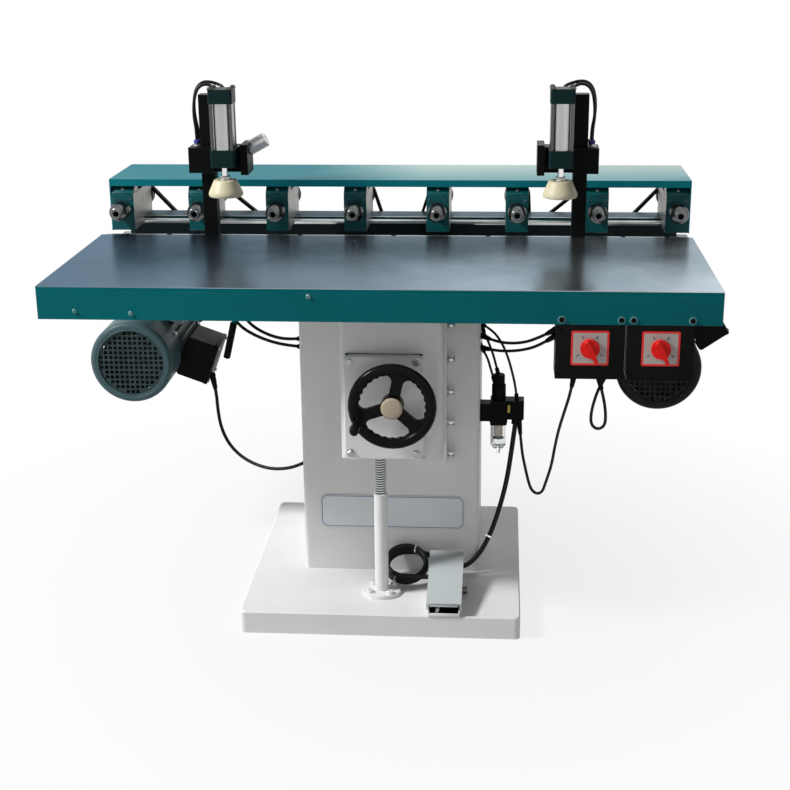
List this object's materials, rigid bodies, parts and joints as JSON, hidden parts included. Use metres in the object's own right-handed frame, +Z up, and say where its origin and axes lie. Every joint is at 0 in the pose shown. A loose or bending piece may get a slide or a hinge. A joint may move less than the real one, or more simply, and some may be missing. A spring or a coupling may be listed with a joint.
{
  "type": "multi-spindle boring machine",
  "caption": "Floor-standing horizontal boring machine for panels: a row of belt-driven chucks on a feeding carriage, a lifting table with air clamps, and a foot valve.",
  "frame": {"origin": "centre of the base's footprint on the floor", "axes": "+X along the row of spindles to the operator's right, +Y away from the operator, +Z up"},
  "size_m": [1.635, 0.9793, 1.222],
  "materials": {
    "white_paint": "satin",
    "tube_paint": "satin",
    "pedal_paint": "satin",
    "cast_grey": "machined",
    "aluminium": "satin",
    "unit_alloy": "satin",
    "clear_bowl": "clear",
    "bright_steel": "ground",
    "teal_paint": "satin",
    "head_paint": "satin",
    "black_paint": "satin",
    "cap_paint": "satin",
    "box_plastic": "textured",
    "plate_metal": "satin",
    "red_plastic": "gloss",
    "black_plastic": "gloss",
    "pad_cream": "satin",
    "motor_paint": "satin",
    "cowl_paint": "satin",
    "plate_paint": "satin",
    "black_rubber": "matt",
    "spindle_steel": "turned"
  },
  "bodies": {
    "frame": {"base_shell": "white_paint", "column_shell": "white_paint", "nut_tube": "tube_paint", "guide_rails": "cast_grey", "feed_cylinder": "aluminium", "air_filter_unit": "unit_alloy", "filter_bowl": "clear_bowl", "pedal_base": "white_paint", "pedal_hose": "black_rubber", "hose_coil": "black_rubber"},
    "knee_table": {"knee_slide": "white_paint", "gib_strip": "bright_steel", "gear_cover": "white_paint", "table_top": "bright_steel", "table_frame": "teal_paint", "post_rail": "bright_steel", "clamp_posts": "black_paint", "clamp_brackets": "black_paint", "cylinder_caps": "cap_paint", "cylinder_barrels": "aluminium", "switch_boxes": "box_plastic", "switch_plates": "plate_metal", "clamp_hoses": "black_rubber", "table_cables": "black_rubber"},
    "carriage": {"saddle": "cast_grey", "feed_rod": "bright_steel", "bed": "cast_grey", "guide_bar": "bright_steel", "boring_heads": "head_paint", "cover": "teal_paint", "motor_housings": "motor_paint", "fan_cowls": "cowl_paint", "terminal_boxes": "box_plastic", "motor_plates": "plate_paint", "drive_belts": "black_rubber", "motor_lead": "black_rubber"},
    "handwheel": {"handwheel": "black_paint"},
    "wheel_grip": {"handwheel_grip": "black_plastic"},
    "screw": {"elevating_screw": "bright_steel"},
    "clamp_left": {"clamp_plunger_left": "pad_cream"},
    "clamp_right": {"clamp_plunger_right": "pad_cream"},
    "knob_left": {"switch_knob_left": "red_plastic"},
    "knob_right": {"switch_knob_right": "red_plastic"},
    "pedal": {"pedal_plate": "pedal_paint"},
    "rotor_left": {"motor_rotor_left": "spindle_steel"},
    "rotor_right": {"motor_rotor_right": "spindle_steel"},
    "spindle_1": {"spindle_1": "spindle_steel"},
    "spindle_2": {"spindle_2": "spindle_steel"},
    "spindle_3": {"spindle_3": "spindle_steel"},
    "spindle_4": {"spindle_4": "spindle_steel"},
    "spindle_5": {"spindle_5": "spindle_steel"},
    "spindle_6": {"spindle_6": "spindle_steel"},
    "spindle_7": {"spindle_7": "spindle_steel"},
    "spindle_8": {"spindle_8": "spindle_steel"},
    "idler_left_outer": {"idler_left_outer": "spindle_steel"},
    "idler_left_middle": {"idler_left_middle": "spindle_steel"},
    "idler_left_inner": {"idler_left_inner": "spindle_steel"},
    "idler_right_outer": {"idler_right_outer": "spindle_steel"},
    "idler_right_middle": {"idler_right_middle": "spindle_steel"},
    "idler_right_inner": {"idler_right_inner": "spindle_steel"}
  },
  "joints": [
    {"name": "table_lift", "type": "slide", "parent": "frame", "child": "knee_table", "axis": [0, 0, 1], "range_m": [-0.06, 0], "deforming": ["table_cables"]},
    {"name": "handwheel_turn", "type": "hinge", "parent": "knee_table", "child": "handwheel", "pos_m": [0.035, -0.315, 0.563], "axis": [0, -1, 0], "range_deg": [-3600, 0]},
    {"name": "screw_turn", "type": "hinge", "parent": "knee_table", "child": "screw", "pos_m": [-0.002, -0.214, 0.5], "axis": [0, 0, 1], "range_deg": [-3600, 0]},
    {"name": "grip_spin", "type": "hinge", "parent": "handwheel", "child": "wheel_grip", "pos_m": [-0.04476, -0.36, 0.52581], "axis": [0, -1, 0], "continuous": true},
    {"name": "clamp_left_press", "type": "slide", "parent": "knee_table", "child": "clamp_left", "axis": [0, 0, -1], "range_m": [0, 0.075]},
    {"name": "clamp_right_press", "type": "slide", "parent": "knee_table", "child": "clamp_right", "axis": [0, 0, -1], "range_m": [0, 0.075]},
    {"name": "knob_left_turn", "type": "hinge", "parent": "knee_table", "child": "knob_left", "pos_m": [0.4685, -0.34, 0.711], "axis": [0, -1, 0], "range_deg": [0, 120]},
    {"name": "knob_right_turn", "type": "hinge", "parent": "knee_table", "child": "knob_right", "pos_m": [0.6205, -0.34, 0.711], "axis": [0, -1, 0], "range_deg": [0, 120]},
    {"name": "pedal_press", "type": "hinge", "parent": "frame", "child": "pedal", "pos_m": [0.152, -0.146, 0.119], "axis": [1, 0, 0], "range_deg": [0, 4], "stiffness_Nm_per_rad": 12, "springref_deg": -6.88},
    {"name": "carriage_feed", "type": "slide", "parent": "frame", "child": "carriage", "axis": [0, -1, 0], "range_m": [0, 0.06], "deforming": ["motor_lead"]},
    {"name": "rotor_left_spin", "type": "hinge", "parent": "carriage", "child": "rotor_left", "pos_m": [-0.672, 0.35, 0.522], "axis": [0, 1, 0], "continuous": true},
    {"name": "rotor_right_spin", "type": "hinge", "parent": "carriage", "child": "rotor_right", "pos_m": [0.672, 0.35, 0.522], "axis": [0, 1, 0], "continuous": true},
    {"name": "spindle_1_spin", "type": "hinge", "parent": "carriage", "child": "spindle_1", "pos_m": [-0.7245, 0.45, 0.88], "axis": [0, 1, 0], "continuous": true},
    {"name": "spindle_2_spin", "type": "hinge", "parent": "carriage", "child": "spindle_2", "pos_m": [-0.519, 0.45, 0.88], "axis": [0, 1, 0], "continuous": true},
    {"name": "spindle_3_spin", "type": "hinge", "parent": "carriage", "child": "spindle_3", "pos_m": [-0.3135, 0.45, 0.88], "axis": [0, 1, 0], "continuous": true},
    {"name": "spindle_4_spin", "type": "hinge", "parent": "carriage", "child": "spindle_4", "pos_m": [-0.108, 0.45, 0.88], "axis": [0, 1, 0], "continuous": true},
    {"name": "spindle_5_spin", "type": "hinge", "parent": "carriage", "child": "spindle_5", "pos_m": [0.108, 0.45, 0.88], "axis": [0, 1, 0], "continuous": true},
    {"name": "spindle_6_spin", "type": "hinge", "parent": "carriage", "child": "spindle_6", "pos_m": [0.3135, 0.45, 0.88], "axis": [0, 1, 0], "continuous": true},
    {"name": "spindle_7_spin", "type": "hinge", "parent": "carriage", "child": "spindle_7", "pos_m": [0.519, 0.45, 0.88], "axis": [0, 1, 0], "continuous": true},
    {"name": "spindle_8_spin", "type": "hinge", "parent": "carriage", "child": "spindle_8", "pos_m": [0.7245, 0.45, 0.88], "axis": [0, 1, 0], "continuous": true},
    {"name": "idler_left_outer_spin", "type": "hinge", "parent": "carriage", "child": "idler_left_outer", "pos_m": [-0.575, 0.56, 0.792], "axis": [0, 1, 0], "continuous": true},
    {"name": "idler_left_middle_spin", "type": "hinge", "parent": "carriage", "child": "idler_left_middle", "pos_m": [-0.367, 0.56, 0.82], "axis": [0, 1, 0], "continuous": true},
    {"name": "idler_left_inner_spin", "type": "hinge", "parent": "carriage", "child": "idler_left_inner", "pos_m": [-0.06, 0.56, 0.792], "axis": [0, 1, 0], "continuous": true},
    {"name": "idler_right_outer_spin", "type": "hinge", "parent": "carriage", "child": "idler_right_outer", "pos_m": [0.575, 0.56, 0.792], "axis": [0, 1, 0], "continuous": true},
    {"name": "idler_right_middle_spin", "type": "hinge", "parent": "carriage", "child": "idler_right_middle", "pos_m": [0.367, 0.56, 0.82], "axis": [0, 1, 0], "continuous": true},
    {"name": "idler_right_inner_spin", "type": "hinge", "parent": "carriage", "child": "idler_right_inner", "pos_m": [0.06, 0.56, 0.792], "axis": [0, 1, 0], "continuous": true}
  ],
  "couplings": [
    {"joint": "handwheel_turn", "follows": "table_lift", "rad_per_m": 1047},
    {"joint": "screw_turn", "follows": "table_lift", "rad_per_m": 1047},
    {"joint": "spindle_1_spin", "follows": "rotor_left_spin", "ratio": 1.3235},
    {"joint": "spindle_2_spin", "follows": "rotor_left_spin", "ratio": 1.3235},
    {"joint": "spindle_3_spin", "follows": "rotor_left_spin", "ratio": 1.3235},
    {"joint": "spindle_4_spin", "follows": "rotor_left_spin", "ratio": 1.3235},
    {"joint": "spindle_5_spin", "follows": "rotor_right_spin", "ratio": 1.3235},
    {"joint": "spindle_6_spin", "follows": "rotor_right_spin", "ratio": 1.3235},
    {"joint": "spindle_7_spin", "follows": "rotor_right_spin", "ratio": 1.3235},
    {"joint": "spindle_8_spin", "follows": "rotor_right_spin", "ratio": 1.3235},
    {"joint": "idler_left_outer_spin", "follows": "rotor_left_spin", "ratio": -2.8125},
    {"joint": "idler_left_middle_spin", "follows": "rotor_left_spin", "ratio": -2.8125},
    {"joint": "idler_left_inner_spin", "follows": "rotor_left_spin", "ratio": 2.8125},
    {"joint": "idler_right_outer_spin", "follows": "rotor_right_spin", "ratio": -2.8125},
    {"joint": "idler_right_middle_spin", "follows": "rotor_right_spin", "ratio": -2.8125},
    {"joint": "idler_right_inner_spin", "follows": "rotor_right_spin", "ratio": 2.8125}
  ]
}
